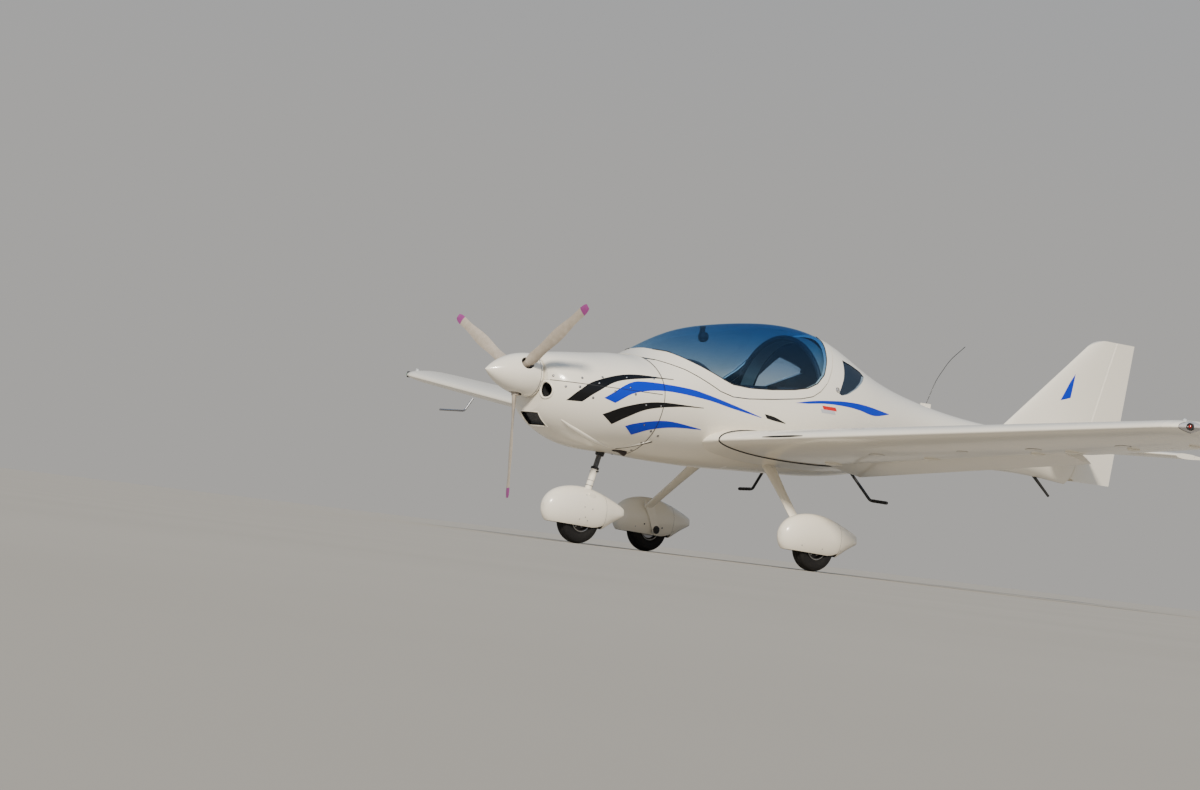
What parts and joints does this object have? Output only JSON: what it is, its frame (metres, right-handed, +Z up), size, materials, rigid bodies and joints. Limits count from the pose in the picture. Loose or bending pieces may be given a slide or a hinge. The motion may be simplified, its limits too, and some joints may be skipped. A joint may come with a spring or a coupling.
{
  "type": "two-seat low-wing microlight aircraft",
  "caption": "Low-wing microlight aircraft with a bubble canopy, faired tricycle wheels, nose propeller, flaps, ailerons, elevator and rudder, standing on its wheels.",
  "frame": {"origin": "on the floor under the middle of the aircraft's bounding box", "axes": "+X towards the port wing tip, -Y towards the nose, +Z up"},
  "size_m": [9, 6.4026, 2.107],
  "materials": {
    "white_gelcoat": "cream white polished gelcoat",
    "canopy_glazing": "blue tinted clear acrylic",
    "engine_metal": "plain cast metal",
    "steel": "plain steel",
    "sleeve_paint": "white painted steel",
    "tyre_rubber": "black tyre rubber",
    "rim_metal": "cast aluminium",
    "blade_composite": "beige grey composite with coloured tips",
    "black_trim": "matt black",
    "seat_cloth": "dark woven cloth over foam",
    "port_lens": "red lens",
    "starboard_lens": "green lens"
  },
  "bodies": {
    "airframe": {"antenna": "black_trim", "cabin_floor": "white_gelcoat", "canopy_hinge": "steel", "center_console": "black_trim", "engine_block": "engine_metal", "exhaust_pipe": "steel", "firewall": "steel", "fuselage_shell": "white_gelcoat", "instrument_panel": "black_trim", "left_axle": "steel", "left_boarding_step": "black_trim", "left_gear_leg": "white_gelcoat", "left_nav_light": "port_lens", "left_rear_window": "canopy_glazing", "left_seat": "seat_cloth", "left_wheel_fairing": "white_gelcoat", "left_wing": "white_gelcoat", "left_wing_root": "white_gelcoat", "lower_cowling": "white_gelcoat", "nose_leg_upper": "steel", "pitot_tube": "steel", "rear_bulkhead": "white_gelcoat", "right_axle": "steel", "right_boarding_step": "black_trim", "right_gear_leg": "white_gelcoat", "right_nav_light": "starboard_lens", "right_rear_window": "canopy_glazing", "right_seat": "seat_cloth", "right_wheel_fairing": "white_gelcoat", "right_wing": "white_gelcoat", "right_wing_root": "white_gelcoat", "rollover_hoop": "black_trim", "seat_base": "seat_cloth", "tail_skid": "black_trim", "tailplane": "white_gelcoat", "upper_cowling": "white_gelcoat", "vertical_fin": "white_gelcoat"},
    "propeller": {"spinner": "white_gelcoat", "propeller_hub": "steel", "propeller_blades": "blade_composite"},
    "left_wheel": {"left_tyre": "tyre_rubber", "left_wheel_rim": "rim_metal"},
    "right_wheel": {"right_tyre": "tyre_rubber", "right_wheel_rim": "rim_metal"},
    "nose_gear": {"nose_fork": "sleeve_paint", "nose_axle": "steel", "nose_wheel_fairing": "white_gelcoat"},
    "nose_wheel": {"nose_tyre": "tyre_rubber", "nose_wheel_rim": "rim_metal"},
    "canopy": {"canopy_frame": "white_gelcoat", "canopy_glass": "canopy_glazing", "canopy_lugs": "steel", "compass": "black_trim"},
    "left_flap_body": {"left_flap": "white_gelcoat"},
    "right_flap_body": {"right_flap": "white_gelcoat"},
    "left_aileron_body": {"left_aileron": "white_gelcoat"},
    "right_aileron_body": {"right_aileron": "white_gelcoat"},
    "elevator_body": {"elevator": "white_gelcoat"},
    "rudder_body": {"rudder": "white_gelcoat"}
  },
  "joints": [
    {"name": "propeller_spin", "type": "hinge", "parent": "airframe", "child": "propeller", "pos_m": [0, -2.92, 1.145], "axis": [0, 1, 0], "continuous": true},
    {"name": "left_wheel_spin", "type": "hinge", "parent": "airframe", "child": "left_wheel", "pos_m": [0.966, -0.816, 0.17], "axis": [1, 0, 0], "continuous": true},
    {"name": "right_wheel_spin", "type": "hinge", "parent": "airframe", "child": "right_wheel", "pos_m": [-0.966, -0.816, 0.17], "axis": [1, 0, 0], "continuous": true},
    {"name": "nose_steering", "type": "hinge", "parent": "airframe", "child": "nose_gear", "pos_m": [0, -2.225, 0.17], "axis": [0, 0.2508, 0.968], "range_deg": [-25, 25]},
    {"name": "nose_wheel_spin", "type": "hinge", "parent": "nose_gear", "child": "nose_wheel", "pos_m": [0, -2.225, 0.17], "axis": [1, 0, 0], "continuous": true},
    {"name": "canopy_open", "type": "hinge", "parent": "airframe", "child": "canopy", "pos_m": [0, -1.985, 1.387], "axis": [1, 0, 0], "range_deg": [0, 60]},
    {"name": "left_flap_hinge", "type": "hinge", "parent": "airframe", "child": "left_flap_body", "pos_m": [1.76, -0.39242, 0.95517], "axis": [0.9923, 0.0785, 0.096], "range_deg": [-27, 13]},
    {"name": "right_flap_hinge", "type": "hinge", "parent": "airframe", "child": "right_flap_body", "pos_m": [-1.76, -0.39242, 0.95517], "axis": [0.9923, -0.0785, -0.096], "range_deg": [-27, 13]},
    {"name": "left_aileron_hinge", "type": "hinge", "parent": "airframe", "child": "left_aileron_body", "pos_m": [3.53, -0.25244, 1.12632], "axis": [0.9923, 0.0785, 0.096], "range_deg": [-20, 20]},
    {"name": "right_aileron_hinge", "type": "hinge", "parent": "airframe", "child": "right_aileron_body", "pos_m": [-3.53, -0.25244, 1.12632], "axis": [0.9923, -0.0785, -0.096], "range_deg": [-20, 20]},
    {"name": "elevator_hinge", "type": "hinge", "parent": "airframe", "child": "elevator_body", "pos_m": [0, 2.52, 1.208], "axis": [1, 0, 0], "range_deg": [-22, 25]},
    {"name": "rudder_hinge", "type": "hinge", "parent": "airframe", "child": "rudder_body", "pos_m": [0, 2.857, 1.667], "axis": [0, 0.2917, 0.9565], "range_deg": [-25, 25]}
  ],
  "couplings": [
    {"joint": "right_flap_hinge", "follows": "left_flap_hinge", "ratio": 1},
    {"joint": "right_aileron_hinge", "follows": "left_aileron_hinge", "ratio": -1}
  ]
}
